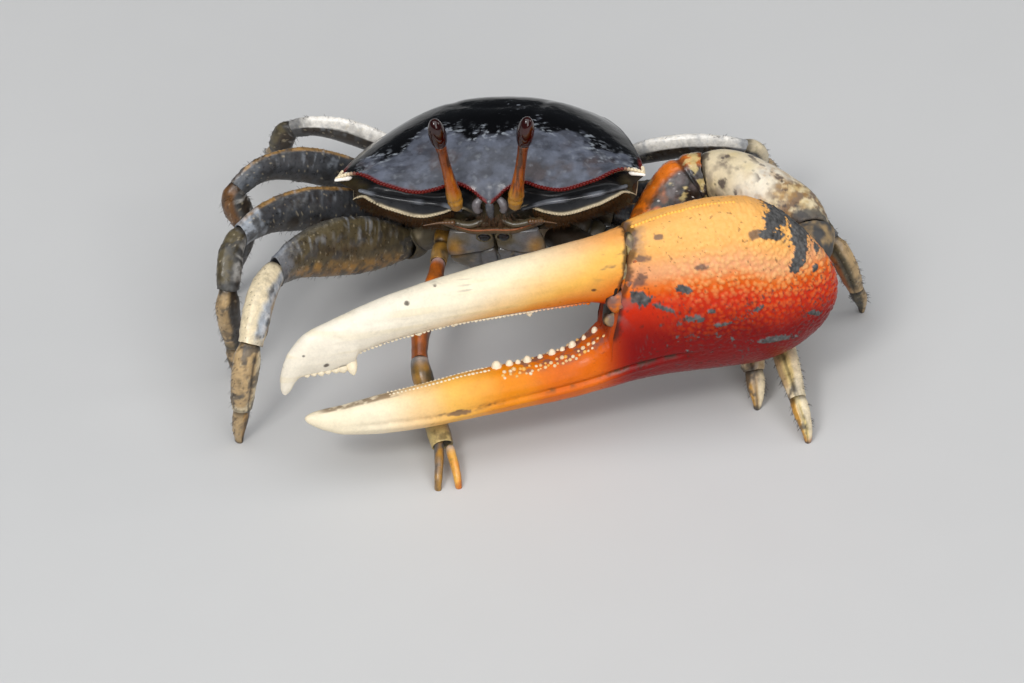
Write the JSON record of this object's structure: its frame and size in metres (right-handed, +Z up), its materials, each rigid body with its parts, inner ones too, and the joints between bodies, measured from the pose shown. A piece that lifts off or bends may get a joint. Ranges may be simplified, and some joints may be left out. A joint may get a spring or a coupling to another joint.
{
  "type": "fiddler crab",
  "caption": "Life-size still model of a male fiddler crab standing on its legs, one very large claw held across its front, eyes raised on stalks.",
  "frame": {"origin": "middle of the bounding box's footprint, at the level of the floor that the toes rest on", "axes": "+X towards the crab's own left side, where the large claw's palm is; +Y towards its back; +Z up; its face looks along -Y"},
  "size_m": [0.074, 0.0554, 0.032],
  "materials": {
    "carapace_shell": "wet blue-black shell",
    "underside": "olive-brown plates",
    "claw_orange": "granular orange-red shell",
    "claw_cream": "cream shell, yellow at the root",
    "arm_shell": "cream and ochre shell with mud",
    "stalk_orange": "orange skin",
    "eye": "wet dark maroon",
    "mouth_plates": "wet grey-green plates",
    "feeding_claw": "orange and brown shell",
    "leg_shell": "dark olive shell with pale ends"
  },
  "bodies": {
    "root": {"abdomen": "underside", "antenna_left": "stalk_orange", "antenna_right": "stalk_orange", "carapace": "carapace_shell", "claw_carpus": "arm_shell", "claw_dactyl": "claw_cream", "claw_merus": "arm_shell", "claw_palm": "claw_orange", "eye_left": "eye", "eye_right": "eye", "eyestalk_left": "stalk_orange", "eyestalk_right": "stalk_orange", "feeder_carpus": "feeding_claw", "feeder_dactyl": "feeding_claw", "feeder_merus": "feeding_claw", "feeder_palm": "feeding_claw", "leg1_left_carpus": "leg_shell", "leg1_left_dactyl": "leg_shell", "leg1_left_merus": "leg_shell", "leg1_left_propodus": "leg_shell", "leg1_right_carpus": "leg_shell", "leg1_right_dactyl": "leg_shell", "leg1_right_merus": "leg_shell", "leg1_right_propodus": "leg_shell", "leg2_left_carpus": "leg_shell", "leg2_left_dactyl": "leg_shell", "leg2_left_merus": "leg_shell", "leg2_left_propodus": "leg_shell", "leg2_right_carpus": "leg_shell", "leg2_right_dactyl": "leg_shell", "leg2_right_merus": "leg_shell", "leg2_right_propodus": "leg_shell", "leg3_left_carpus": "leg_shell", "leg3_left_dactyl": "leg_shell", "leg3_left_merus": "leg_shell", "leg3_left_propodus": "leg_shell", "leg3_right_carpus": "leg_shell", "leg3_right_dactyl": "leg_shell", "leg3_right_merus": "leg_shell", "leg3_right_propodus": "leg_shell", "leg4_left_carpus": "leg_shell", "leg4_left_dactyl": "leg_shell", "leg4_left_merus": "leg_shell", "leg4_left_propodus": "leg_shell", "leg4_right_carpus": "leg_shell", "leg4_right_dactyl": "leg_shell", "leg4_right_merus": "leg_shell", "leg4_right_propodus": "leg_shell", "maxilliped_left": "mouth_plates", "maxilliped_right": "mouth_plates", "thorax": "underside"}
  },
  "joints": []
}
